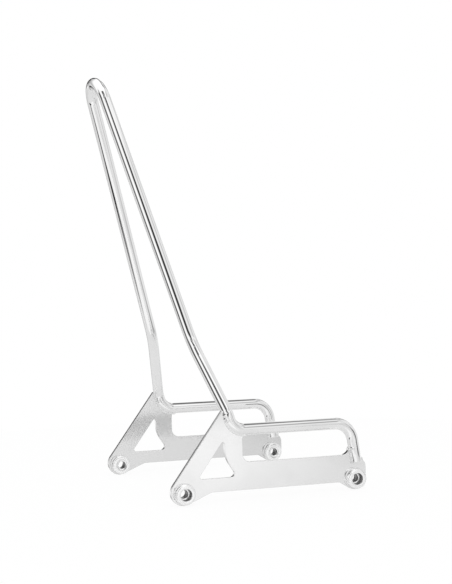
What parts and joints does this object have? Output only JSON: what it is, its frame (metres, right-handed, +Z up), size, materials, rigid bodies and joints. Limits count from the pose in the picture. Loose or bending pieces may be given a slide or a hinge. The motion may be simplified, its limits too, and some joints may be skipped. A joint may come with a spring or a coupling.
{
  "type": "sissy bar",
  "caption": "Low leaning backrest hoop of bent round bar, welded to flat cut-out side plates with bored mounting bosses, all chromed.",
  "frame": {"origin": "on the middle plane between the plates, at the foot of the plates, halfway along the whole length", "axes": "+X to the front of the machine, +Y to its left, +Z up"},
  "size_m": [0.27, 0.259, 0.4662],
  "materials": {
    "bar": "polished chrome",
    "plate": "polished chrome on flat plate",
    "boss": "polished chrome, turned",
    "weld": "chrome over weld beads"
  },
  "bodies": {
    "root": {"hoop": "bar", "plate_right": "plate", "plate_left": "plate", "boss_rear_right": "boss", "boss_front_right": "boss", "boss_rear_left": "boss", "boss_front_left": "boss", "welds_right": "weld", "welds_left": "weld"}
  },
  "joints": []
}
